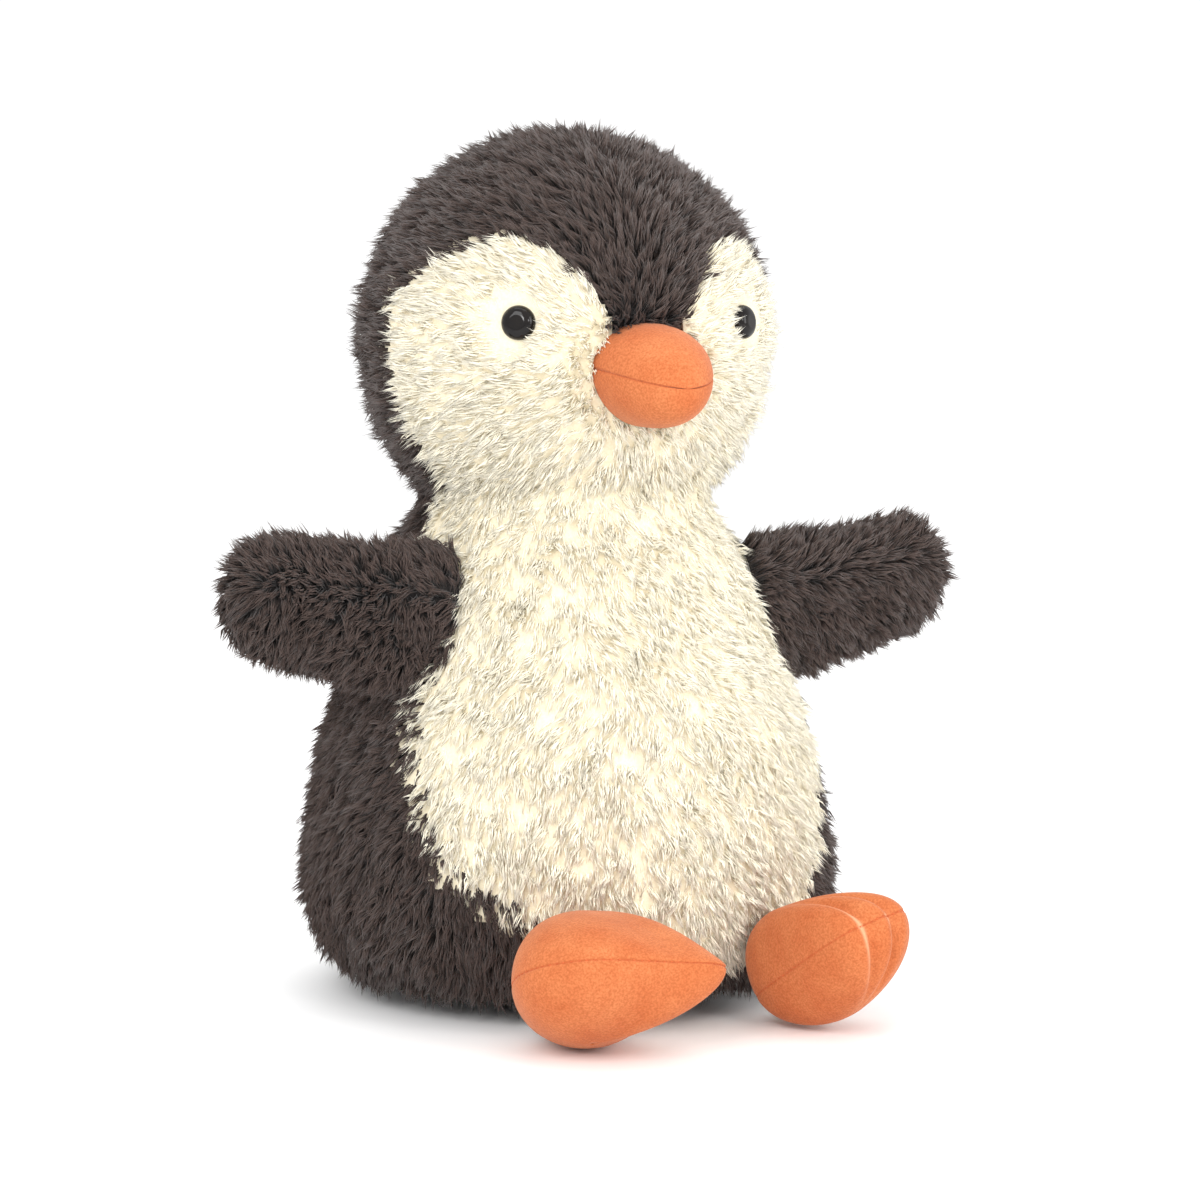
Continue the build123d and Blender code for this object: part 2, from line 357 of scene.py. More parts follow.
class Surface:
    """A smooth sheet of cloth that fur can be planted on, from a grid closed round its
    second direction."""

    def __init__(self, grid, inside):
        self.points, self.quads = grid_surface(grid)
        self.shape = (grid.shape[0] - 1, grid.shape[1])
        corners = self.points[self.quads]
        self.centres = corners.mean(axis=1)
        cross = np.cross(corners[:, 2] - corners[:, 0], corners[:, 3] - corners[:, 1])
        if np.einsum("ij,ij->i", cross, self.centres - inside(self.centres)).sum() < 0:
            self.quads = self.quads[:, [1, 0, 3, 2]]
            cross = -cross
        self.areas = np.linalg.norm(cross, axis=1) / 2
        normals = np.zeros_like(self.points)
        for corner in range(4):
            np.add.at(normals, self.quads[:, corner], cross)
        self.normals = unit(normals)

    def plant(self, spacing):
        """Evenly scattered places for locks at this spacing, with the surface's normals.
        The two steps make a low-discrepancy sequence, so that no gap or row is seen."""
        first_step, second_step = 0.7548776662, 0.5698402910
        count = int(self.areas.sum() / spacing**2)
        order = np.arange(count) + 0.5
        first, second = (order * first_step) % 1, (order * second_step) % 1
        rows = self.areas.reshape(self.shape)
        row_ends = np.cumsum(rows.sum(axis=1))
        row = np.searchsorted(row_ends, first * row_ends[-1]).clip(0, len(row_ends) - 1)
        row_starts = row_ends - rows.sum(axis=1)
        down = (first * row_ends[-1] - row_starts[row]) / rows.sum(axis=1)[row]
        ends = np.cumsum(self.areas)
        wanted = row_starts[row] + second * rows.sum(axis=1)[row]
        quad = np.searchsorted(ends, wanted).clip(0, len(ends) - 1)
        across = 1 - (ends[quad] - wanted) / self.areas[quad]
        jitter = rng.normal(size=(count, 2)) * 0.12  # of a quad's side
        down = (down + jitter[:, 0]).clip(0, 1)[:, None]
        across = (across + jitter[:, 1]).clip(0, 1)[:, None]
        corners = np.stack([quad, row * self.shape[1] + (quad + 1) % self.shape[1],
                            (row + 1) * self.shape[1] + (quad + 1) % self.shape[1],
                            quad + self.shape[1]], axis=1)
        weights = np.stack([(1 - across) * (1 - down), across * (1 - down),
                            across * down, (1 - across) * down], axis=1)
        places = (self.points[corners] * weights).sum(axis=1)
        return places, unit((self.normals[corners] * weights).sum(axis=1))


# ---------------------------------------------------------------- fur


def fur_strands(places, normals, flow, lean, length, tint):
    """Locks of tapered strands, as root, middle and tip stations. lean is how far each lock
    lies over, from 0 upright to 1 flat."""
    root_depth, lowest = 0.4 * MM, 0.35 * MM
    count = len(places)
    flow = unit(flow - normals * np.einsum("ij,ij->i", flow, normals)[:, None])
    side = np.cross(normals, flow)
    heading = unit(normals * np.cos(lean * math.pi / 2)[:, None]
                   + flow * np.sin(lean * math.pi / 2)[:, None]
                   + sway(places, 9 * MM, 5) * 0.3
                   + rng.normal(size=(count, 3)) * 0.16)
    each = strands_per_lock
    angle = rng.uniform(0, 2 * math.pi, (count, each, 1))
    spread = np.sqrt(rng.random((count, each, 1))) * lock_spacing * 0.8
    offset = (flow[:, None] * np.cos(angle) + side[:, None] * np.sin(angle)) * spread
    root = places[:, None] + offset - normals[:, None] * root_depth
    lock_tip = places + heading * length[:, None]
    gather = rng.uniform(0.15, 0.5, (count, 1, 1))
    tip = lock_tip[:, None] + offset * gather + rng.normal(size=(count, each, 3)) * 0.28 * MM
    reach = rng.uniform(0.66, 1.06, (count, each, 1))
    tip = root + (tip - root) * reach
    lift = normals[:, None] * length[:, None, None] * rng.uniform(0.06, 0.2, (count, each, 1))
    curl = rng.normal(size=(count, 1, 3)) * 0.35 * MM
    middle = root + (tip - root) * 0.5 + lift + curl
    stations = np.stack([root, middle, tip], axis=2).reshape(-1, 3, 3)
    stations[:, :, 2] = np.maximum(stations[:, :, 2], lowest)
    tints = np.clip(tint[:, None] + rng.normal(size=(count, each)) * 0.15, 0.03, 0.93).ravel()
    return stations, tints


def strand_mesh(name, stations, tints, material):
    """A closed three-sided spike for each strand, through its stations to a point. Its UV
    map holds the strand's tint across, and the place along the strand upwards."""
    count = len(stations)
    along = unit(stations[:, 2] - stations[:, 0])
    helper = np.where(np.abs(along[:, 2:3]) > 0.8, [[1.0, 0, 0]], [[0, 0, 1.0]])
    across = unit(np.cross(along, helper))
    upward = np.cross(across, along)
    twist = rng.uniform(0, 2 * math.pi, (count, 1))
    rings = []
    for place, width in ((0, 0.8), (1, 1.0)):
        for corner in range(3):
            turn = twist + corner * 2 * math.pi / 3
            rim = (across * np.cos(turn) + upward * np.sin(turn)) * strand_radius * width
            rings.append(stations[:, place] + rim)
    rings.append(stations[:, 2])
    points = np.stack(rings, axis=1)
    points[:, :, 2] = np.maximum(points[:, :, 2], 0.1 * MM)
    faces = [(0, 2, 1)]
    for corner in range(3):
        other = (corner + 1) % 3
        faces.append((corner, other, 3 + other))
        faces.append((corner, 3 + other, 3 + corner))
        faces.append((3 + corner, 3 + other, 6))
    faces = np.array(faces)
    each = points.shape[1]
    every = (np.arange(count)[:, None, None] * each + faces[None]).reshape(-1, 3)
    mesh = bpy.data.meshes.new(name)
    mesh.vertices.add(count * each)
    mesh.vertices.foreach_set("co", points.astype(np.float32).ravel())
    mesh.loops.add(every.size)
    mesh.loops.foreach_set("vertex_index", every.ravel().astype(np.int32))
    mesh.polygons.add(len(every))
    mesh.polygons.foreach_set("loop_start", np.arange(len(every), dtype=np.int32) * 3)
    mesh.polygons.foreach_set("use_smooth", np.ones(len(every), bool))
    mesh.update(calc_edges=True)
    shift = np.array([0, 0.02, 0.04] * 2 + [0.02])
    height = np.array([0.02] * 3 + [0.5] * 3 + [0.98])
    uv = np.stack([tints[:, None] + shift, np.broadcast_to(height, (count, each))], axis=-1)
    layer = mesh.uv_layers.new(name="OFBake")
    layer.data.foreach_set("uv", uv.reshape(-1, 2)[every.ravel()].astype(np.float32).ravel())
    mesh.materials.append(material)
    piece = bpy.data.objects.new(name, mesh)
    bpy.context.scene.collection.objects.link(piece)
    return piece


def fur_pieces(name, stations, tints, material):
    """The strands as one or more pieces, none with more faces than an export keeps whole."""
    parts = math.ceil(len(stations) * triangles_per_strand / triangle_limit)
    pieces = []
    for part, chosen in enumerate(np.array_split(np.arange(len(stations)), parts)):
        label = name if parts == 1 else f"{name}_{part + 1}"
        pieces.append(strand_mesh(label, stations[chosen], tints[chosen], material))
    return pieces


# ---------------------------------------------------------------- body and head skins


def axis_profile(names, low, high, count):
    """Radius at each height where a level ray from behind meets the CAD nodes."""
    tree = tree_of(*names)
    heights = np.linspace(low, high, count)
    radii = []
    for height in heights:
        hit = tree.ray_cast(Vector((0.0001, 0.3, height)), Vector((0, -1, 0)))[0]
        radii.append(hit.y)
    return heights, np.array(radii)


def revolve_grid(radii, heights, steps):
    angle = np.linspace(0, 2 * math.pi, steps, endpoint=False)
    ring = np.stack([np.sin(angle), -np.cos(angle), np.zeros(steps)], axis=-1)
    grid = ring[None] * radii[:, None, None]
    grid[:, :, 2] = heights[:, None]
    return grid


def body_surface():
    """The body's cloth: the CAD outline drawn in by the pile, closed under the seat and
    turned in at the collar, where the head sits on it."""
    heights, radii = axis_profile(body_panels, 0.3 * MM, collar_height - 0.2 * MM, 70)
    slope = np.gradient(radii, heights)
    drawn = radii - pile_depth / np.sqrt(1 + slope**2)
    raised = np.maximum(heights + pile_depth * slope / np.sqrt(1 + slope**2), 2.2 * MM)
    under = np.linspace(0.004, 0.94, 12) * drawn[0]
    over = np.sin(np.linspace(0.1, 0.5 * math.pi, 10))
    radii = np.concatenate([under, drawn, drawn[-1] * (1 - 0.5 * over**2)])
    heights = np.concatenate([np.full(12, raised[0]), raised, raised[-1] + over * 1.5 * MM])
    return Surface(revolve_grid(radii, heights, 200), lambda points: points * [0, 0, 1])


body_panels = ["tummy_panel", "back_panel_left", "back_panel_right", "base_panel"]
head_panels = ["crown_panel_left", "crown_panel_right", "face_panel_left", "face_panel_right"]
collar_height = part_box("tummy_panel")[1].z
head_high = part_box("crown_panel_left")[1]
head_radius = head_high.x
head_centre = np.array([0, 0, head_high.z - head_radius])


def head_surface():
    """The head's cloth: a ball inside the CAD head, whose foot sits down in the collar."""
    radius = head_radius - pile_depth
    polar = np.linspace(0.004, 0.84 * math.pi, 90)
    grid = revolve_grid(radius * np.sin(polar), head_centre[2] + radius * np.cos(polar), 200)
    return Surface(grid, lambda points: np.broadcast_to(head_centre, points.shape))


def follow_neck(piece, part):
    """A head piece rides on the head. A body piece stays where it is."""
    if part == "head":
        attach(piece, "head")
    else:
        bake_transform(piece)


beak_low, beak_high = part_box("beak_upper")
beak_drop = head_centre[2] - beak_low.z
beak_centre = np.array([0, -math.sqrt(head_radius**2 - beak_drop**2), beak_low.z])
beak_half_width = (beak_high.x - beak_low.x) / 2
beak_half_height = beak_high.z - beak_low.z


def head_flow(places):
    """The nap of the cheeks radiates from the beak. Over the crown it also parts at the seam."""
    flow = unit(places - beak_centre)
    crown = np.clip((places[:, 2] - beak_high.z) / (25 * MM), 0, 1)
    flow[:, 0] += np.tanh(places[:, 0] / (4 * MM)) * 0.5 * crown
    flow[:, 2] -= 0.12
    return flow


def body_flow(places):
    """The nap of the body falls, and spreads sideways over the tummy."""
    half_width = 70 * MM
    flow = np.zeros_like(places)
    flow[:, 2] = -1
    flow[:, 0] = places[:, 0] / half_width * 0.45
    flow[:, 1] = np.maximum(places[:, 1], 0) / half_width * 0.2
    return flow + sway(places, 60 * MM, 3) * 0.5


def eye_gap(places):
    """Distance of each place from the nearer eye's centre."""
    gaps = []
    for name in sides:
        low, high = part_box(f"eye_{name}")
        middle = np.array((low + high) / 2)
        outward = unit(middle - head_centre)
        centre = head_centre + outward * (head_radius - 2 * MM)
        gaps.append(np.linalg.norm(places - centre, axis=1))
    return np.min(gaps, axis=0)


def beak_gap(places):
    """How far out of the beak's root each place is: under 1 is inside its outline."""
    gap = np.hypot(places[:, 0] / beak_half_width, (places[:, 2] - beak_low.z) / beak_half_height)
    return np.where(places[:, 1] < 0, gap, 9)


fur_kinds = {
    "cream": {"length": 7.6 * MM, "lean": 0.64, "undercoat": 2.1 * MM},
    "dark": {"length": 8.2 * MM, "lean": 0.58, "undercoat": 0.4 * MM},
}


def kind_of(name):
    return "cream" if name.startswith(("tummy", "face")) else "dark"


def pile_shape(at, up, part, kind):
    """Length and lean of each lock. The pile is short round the eyes and the beak, in the
    collar and under the seat, and stands up towards the beak."""
    length = fur_kinds[kind]["length"] * rng.uniform(0.8, 1.14, len(at))
    lean = fur_kinds[kind]["lean"] + sway(at, 25 * MM, 11)[:, 0] * 0.14
    if part == "head":
        near_eye = np.clip((eye_gap(at) - 5.2 * MM) / (5 * MM), 0, 1)
        length = length * (0.3 + 0.7 * near_eye)
        in_collar = np.clip((collar_height - 4 * MM - at[:, 2]) / (4 * MM), 0, 1)
        length = length * (1 - 0.6 * in_collar)
        near_beak = np.clip((beak_gap(at) - 1.0) / 0.4, 0, 1)
        length = length * (0.85 + 0.15 * near_beak)
        above_seam = np.clip((at[:, 2] - beak_low.z) / (6 * MM) + 0.5, 0.45, 1)
        lean = lean * (1 - 0.7 * (1 - near_beak)) - 0.34 * (1 - near_beak) * above_seam
    else:
        under_chin = np.clip((collar_height - at[:, 2]) / (14 * MM), 0, 1)
        length = length * (0.8 + 0.2 * under_chin)
    on_seat = up[:, 2] < -0.75
    return np.where(on_seat, 3 * MM, length), np.where(on_seat, 0.85, lean)


def dress(surface, part, names, flow_at, brush):
    """Cuts a surface into the panels of the CAD nodes and plants fur on each. Cream locks
    neither start nor end outside the cream. brush is how far the pile, and the edges of the
    panels with it, is brushed towards +X over the seams, three times as far at +X."""
    reach = 9.5 * MM  # along the nap, from a lock's root to where its tip is looked for

    def lay_at(points):
        return np.outer(brush * np.where(points[:, 0] > 0, 3, 1), [1, 0, 0])

    owner = nearest_node(surface.centres - lay_at(surface.centres), names)
    places, normals = surface.plant(lock_spacing)
    if part == "head":
        eye_room, below_collar = 5.6 * MM, 16 * MM
        clear = (beak_gap(places) > 0.93) & (eye_gap(places) > eye_room)
        clear &= places[:, 2] > collar_height - below_collar
    else:
        collar_depth, collar_radius = 6 * MM, 30 * MM
        clear = places[:, 2] < collar_height - collar_depth
        clear |= np.hypot(*places.T[:2]) > collar_radius
    places, normals = places[clear], normals[clear]
    flow = flow_at(places)
    level = unit(flow - normals * np.einsum("ij,ij->i", flow, normals)[:, None])
    root_owner = nearest_node(places - lay_at(places), names)
    tip_owner = nearest_node(places + level * reach - lay_at(places), names)
    dark = np.array([kind_of(name) == "dark" for name in names])
    lock_owner = np.where(dark[tip_owner], tip_owner, root_owner)
    for index, name in enumerate(names):
        kind = kind_of(name)
        base = surface.points + surface.normals * fur_kinds[kind]["undercoat"]
        cloth = panel_cloth(f"{name}_cloth", base, surface.quads, owner == index,
                            materials[f"{kind}_cloth"])
        follow_neck(cloth, part)
        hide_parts(name)
        mine = lock_owner == index
        at, up = places[mine], normals[mine]
        length, lean = pile_shape(at, up, part, kind)
        tint = 0.5 + sway(at, 14 * MM, 17)[:, 1] * 0.22
        stations, tints = fur_strands(at, up, flow[mine], lean, length, tint)
        for piece in fur_pieces(f"{name}_fur", stations, tints, materials[f"{kind}_fur"]):
            follow_neck(piece, part)


# ---------------------------------------------------------------- wings


wing_rise = 8  # degrees


def wing_frame(name, side):
    """The wing's pivot, its directions to the tip and to the top edge, and its reach."""
    pivot = np.array(joints[f"wing_{name}_raise"]["pos_m"])
    low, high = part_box(f"wing_{name}_front")
    rise = math.radians(wing_rise)
    tipward = np.array([side * math.cos(rise), 0, math.sin(rise)])
    upward = np.array([-side * math.sin(rise), 0, math.cos(rise)])
    reach = abs(high.x if side > 0 else low.x) - abs(pivot[0])
    return pivot, tipward, upward, reach


def wing_surface(name, side):
    """The wing's cloth: a flat paddle, broad where it leaves the body, with a blunt tip."""
    pivot, tipward, upward, reach = wing_frame(name, side)
    reach -= 3.6 * MM
    steps = np.sin(np.linspace(-0.5 * math.pi, 0.5 * math.pi, 70)) * 0.5 + 0.5
    along = -26 * MM + steps * (reach + 26 * MM)
    left = np.clip((reach - along) / (13 * MM), 0, 1)
    blunt = np.maximum((1 - (1 - left) ** 2.6) ** 0.5, 0.02)
    marks = np.array([-26, -12, 0, 12, 24, 34]) * MM
    top = np.interp(along, marks, np.array([16.0, 14.0, 13.0, 13.0, 13.0, 12.0]) * MM) * blunt
    bottom = np.interp(along, marks, np.array([20.0, 18.5, 17.0, 15.0, 13.2, 12.0]) * MM) * blunt
    thick = np.interp(along, marks, np.array([7.0, 6.6, 6.2, 6.0, 5.8, 5.5]) * MM) * blunt
    angle = np.linspace(0, 2 * math.pi, 72, endpoint=False)
    rim_up = np.sign(np.cos(angle)) * np.abs(np.cos(angle)) ** 0.9
    rim_out = np.sign(np.sin(angle)) * np.abs(np.sin(angle)) ** 1.1
    chord = np.where(rim_up > 0, top[:, None] * rim_up, bottom[:, None] * rim_up)
    grid = (pivot + tipward * along[:, None, None] + upward * chord[:, :, None]
            + np.array([0, -1, 0]) * (thick[:, None] * rim_out)[:, :, None])

    def core(points):
        return pivot + ((points - pivot) @ tipward)[:, None] * tipward

    return Surface(grid, core)


def bend_wing(piece, inner):
    """Applies a wing piece's placement to its mesh; inner and outer pieces are treated alike."""
    if inner:
        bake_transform(piece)
    else:
        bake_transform(piece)


def make_wing(name, side):
    """A wing of two fur panels, cut across at the pivot."""
    surface = wing_surface(name, side)
    pivot, tipward, upward, _ = wing_frame(name, side)
    places, normals = surface.plant(lock_spacing * 0.95)
    height = (places - pivot) @ upward / (15 * MM)
    flow = tipward * 0.7 + np.zeros_like(places)
    flow[:, 2] += np.clip((height - 0.35) * 2.5, -0.8, 1.0)
    flow += sway(places, 30 * MM, 29) * 0.4
    out = (places - pivot) @ tipward
    faces_out = (surface.centres - pivot) @ tipward
    buried = np.linalg.norm(places[:, :2], axis=1) < abs(pivot[0]) - 22 * MM
    for face, way in (("front", -1), ("back", 1)):
        for stretch, inner in (("root", True), ("blade", False)):
            chosen = ((surface.centres[:, 1] - pivot[1]) * way > 0) & ((faces_out < 0) == inner)
            cloth = panel_cloth(f"wing_{name}_{face}_{stretch}_cloth", surface.points,
                                surface.quads, chosen, materials["dark_cloth"])
            mine = ((places[:, 1] - pivot[1]) * way > 0) & ((out < 0) == inner) & ~buried
            at, up = places[mine], normals[mine]
            length = 6.6 * MM * rng.uniform(0.8, 1.14, len(at))
            lean = 0.56 + sway(at, 20 * MM, 31)[:, 0] * 0.14
            tint = 0.5 + sway(at, 14 * MM, 37)[:, 1] * 0.22
            stations, tints = fur_strands(at, up, flow[mine], lean, length, tint)
            pieces = fur_pieces(f"wing_{name}_{face}_{stretch}_fur", stations, tints,
                                materials["dark_fur"])
            for piece in [cloth, *pieces]:
                bend_wing(piece, inner)
            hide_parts(f"wing_{name}_{face}")
    bend_wing(fill_surface(f"wing_{name}_root_stuffing", surface, chosen=faces_out < 0), True)
    bend_wing(fill_surface(f"wing_{name}_stuffing", surface, chosen=faces_out >= 0), False)


# ---------------------------------------------------------------- suede parts


def stitch_row(name, places, normals, length, radius, material):
    """Short thread stitches laid along a line of places, lying on the surface."""
    stitches = bmesh.new()
    ahead = np.roll(places, -1, axis=0) - np.roll(places, 1, axis=0)
    ahead = unit(ahead)
    side = np.cross(normals, ahead)
    steps, rims = 5, 8
    for place, run, up, out in zip(places, ahead, normals, side):
        rows = []
        for step in range(steps):
            share = step / (steps - 1) * 2 - 1
            thin = radius * math.sqrt(max(1 - share**4, 0.04))
            centre = place + run * share * length / 2 + up * radius * 0.4 * (1 - share**2)
            turns = [2 * math.pi * rim / rims for rim in range(rims)]
            rows.append([stitches.verts.new(centre + out * thin * math.cos(turn)
                                            + up * thin * 0.7 * math.sin(turn)) for turn in turns])
        for low, high in zip(rows, rows[1:]):
            for rim in range(rims):
                other = (rim + 1) % rims
                stitches.faces.new((low[rim], low[other], high[other], high[rim]))
        stitches.faces.new(rows[0][::-1])
        stitches.faces.new(rows[-1])
    mesh = bpy.data.meshes.new(name)
    stitches.to_mesh(mesh)
    stitches.free()
    mesh.shade_smooth()
    mesh.materials.append(material)
    piece = bpy.data.objects.new(name, mesh)
    bpy.context.scene.collection.objects.link(piece)
    return piece


def even_places(line, spacing):
    """Indices of a closed line's points at about even spacing."""
    steps = np.linalg.norm(np.diff(line, axis=0, append=line[:1]), axis=1)
    walked = np.concatenate([[0], np.cumsum(steps)[:-1]])
    marks = np.arange(0, steps.sum() - spacing / 2, spacing)
    return np.searchsorted(walked, marks).clip(0, len(line) - 1)


def bump_ring(angle, middle, width):
    """A smooth bump over angle, 1 at its middle."""
    gap = (angle - middle + math.pi) % (2 * math.pi) - math.pi
    return np.exp(-((gap / width) ** 2))


def smooth_outline(marks, count):
    """A closed smooth curve through some marks, with count points."""
    marks = np.array(marks, float)
    place = np.linspace(0, len(marks), count, endpoint=False)
    start = place.astype(int)
    t = (place - start)[:, None]
    p0, p1, p2, p3 = (marks[(start + step) % len(marks)] for step in (-1, 0, 1, 2))
    return 0.5 * (2 * p1 + (p2 - p0) * t + (2 * p0 - 5 * p1 + 4 * p2 - p3) * t**2
                  + (3 * p1 - p0 - 3 * p2 + p3) * t**3)


# Each foot's sewn edge, from above: mm ahead of the heel and mm outward, heel first.
foot_edges = {
    "right": [(-12, 0), (-9, 9), (0, 15.5), (11, 18.5), (21, 18.5), (29, 15), (33.5, 9.5),
              (36, 3), (36, -4), (34.5, -11), (32.5, -19), (30.5, -28), (26, -32), (19.5, -27),
              (10, -19), (0, -15), (-9, -9)],
    "left": [(-9, 2), (-6, 11), (2, 16.5), (12, 19.5), (22, 20.5), (30, 18), (35.5, 12),
             (35.5, 6.5), (38.5, 2), (36, -3), (36.5, -7), (32, -10), (22, -10.5), (11, -9.5),
             (0, -8), (-7, -5)],
}
# Where each crease between two toes meets the edge, and the share of the height it takes.
toe_creases = {"right": ((33, 9.5), (33.5, -13)), "left": ((35.5, 6.5), (36, -3))}
crease_depth = {"right": 0.02, "left": 0.36}
foot_depths = {"right": (20.0, 15.2), "left": (16.5, 16.4)}  # mm above and below the edge
foot_tilts = {"right": 26, "left": 32}  # degrees that the toes are raised
foot_rolls = {"right": 0, "left": 9}  # degrees that the outer edge is raised


def mark_points(piece, name, values):
    layer = piece.data.attributes.new(name, "FLOAT", "POINT")
    layer.data.foreach_set("value", np.asarray(values, np.float32))


def foot_axes(name, side):
    """The foot's heel, the level way ahead of it, and the forward, outward and upward
    directions of the tilted and rolled foot."""
    joint = joints[f"foot_{name}_lift"]
    heel = np.array(joint["pos_m"])
    ahead = np.cross([0, 0, 1.0], unit(np.array(joint["axis"])))
    ahead = ahead * -np.sign(ahead[1])
    tilt, roll = math.radians(foot_tilts[name]), math.radians(foot_rolls[name])
    forward = ahead * math.cos(tilt) + np.array([0, 0, math.sin(tilt)])
    up = np.array([0, 0, math.cos(tilt)]) - ahead * math.sin(tilt)
    outer = np.cross(up, forward)
    outer = outer * np.sign(outer[0] * side)
    up, outer = (up * math.cos(roll) - outer * math.sin(roll),
                 outer * math.cos(roll) + up * math.sin(roll))
    return heel, ahead, forward, outer, up


def toe_marks(name, flat, core):
    """How far each place lies in a crease between two toes, and how far it lies in the band beside
    the crease that gets a painted highlight, both from 0 to 1."""
    crease, ridge_highlight = np.zeros(flat.shape[:2]), np.zeros(flat.shape[:2])
    for mark in toe_creases[name]:
        toe = np.array(mark) * MM - core
        toward = unit(toe)
        out = flat - core
        aside = out[:, :, 0] * toward[1] - out[:, :, 1] * toward[0]
        share = (out @ toward / np.linalg.norm(toe)).clip(0, 1.1)
        crease = np.maximum(crease, np.exp(-((aside / (1.3 * MM)) ** 2)) * share**3.2)
        # A band beside each crease, for a painted highlight on the crease's edge.
        ridge_highlight = np.maximum(ridge_highlight, np.exp(-(((aside - 1.6 * MM) / (1.1 * MM)) ** 2)) * share**3)
    return crease, ridge_highlight


def make_foot(name, side):
    """A stuffed foot of two suede panels with three toes, sewn round the edge and tilted
    so that its sole shows."""
    heel, ahead, forward, outer, up = foot_axes(name, side)
    edge = smooth_outline(foot_edges[name], 288) * MM
    core = np.array([11.0, 0.0]) * MM
    rays = edge - core
    swing = 0.5 * math.pi * (1 - np.linspace(0.994, 0, 60) ** 1.6)
    spread = np.sin(swing)
    flat = core + rays[None] * spread[:, None, None]
    crease, ridge_highlight = toe_marks(name, flat, core)
    inner_toe = bump_ring(np.arctan2(rays[:, 1], rays[:, 0]), -1.05, 0.75)
    pointed = inner_toe * (name == "right")
    seam_pinch = 1 - 0.012 * np.exp(-(((0.5 * math.pi - swing) / 0.03) ** 2))
    above, below = foot_depths[name]
    sheets = []
    for way, height, point_thin in ((1, above * MM, 0.7), (-1, below * MM, 0.15)):
        round_off = np.cos(swing)[:, None] * (1 - point_thin * pointed * spread[:, None] ** 3)
        tall = height * round_off * (1 - crease_depth[name] * crease)
        toe_thin = 1 - 0.16 * ((flat[:, :, 0] - core[0]) / (26 * MM)).clip(0, 1)
        bed = core + (flat - core) * seam_pinch[:, None, None]
        bed[:, :, 0] -= way * 4 * MM * round_off**2
        sheets.append(heel + forward * bed[:, :, :1] + outer * bed[:, :, 1:]
                      + up * (way * tall * toe_thin)[:, :, None])
    upper, sole = sheets
    grid = np.concatenate([upper, sole[::-1][1:]])
    grid[:, :, 2] = np.maximum(grid[:, :, 2], 0.15 * MM)
    middle = heel + forward * core[0]
    surface = Surface(grid, lambda points: np.broadcast_to(middle, points.shape))
    above_seam = np.concatenate([np.cos(swing), np.cos(swing)[::-1][1:]]) * above * MM
    # Only the left foot gets the painted highlight beside its toe creases.
    ridge_highlight = np.concatenate([ridge_highlight, ridge_highlight[::-1][1:]]) * (name == "left")
    on_top = np.repeat(np.arange(len(grid) - 1) < len(upper) - 1, grid.shape[1])
    for skin, chosen in (("upper", on_top), ("sole", ~on_top)):
        panel = suede_panel(f"foot_{name}_{skin}_suede", surface, chosen,
                            np.repeat(above_seam, grid.shape[1]), ridge_highlight.ravel())
        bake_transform(panel)
        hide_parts(f"foot_{name}_{skin}")
    line = upper[-1]
    chosen = even_places(line, 1.9 * MM)
    normals = unit(rays @ np.array([forward, outer]))
    stitches = stitch_row(f"foot_{name}_stitches", line[chosen] - normals[chosen] * 0.02 * MM,
                          normals[chosen], 0.9 * MM, 0.19 * MM, materials["thread"])
    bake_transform(stitches)
    filling = fill_surface(f"foot_{name}_stuffing", surface, centre=middle)
    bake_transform(filling)


def suede_panel(name, surface, chosen, from_seam, ridge_highlight):
    """One closed suede panel. Its points hold how near they are to the seam, for painted shade
    along it, and to the band beside a toe crease, for a painted highlight, for the material."""
    faces = surface.quads[chosen]
    used, faces = np.unique(faces, return_inverse=True)
    piece = mesh_object(name, surface.points[used], faces.reshape(-1, 4))
    # The seam mark darkens the suede along the seam: painted shade in its groove.
    mark_points(piece, "seam", np.exp(-((from_seam[used] / (0.28 * MM)) ** 2)))
    mark_points(piece, "ridge_highlight", ridge_highlight[used])
    piece.data.materials.append(materials["suede"])
    solid = piece.modifiers.new("thickness", "SOLIDIFY")
    solid.thickness = cloth_thickness
    solid.offset = -1
    apply_modifiers(piece)
    return piece


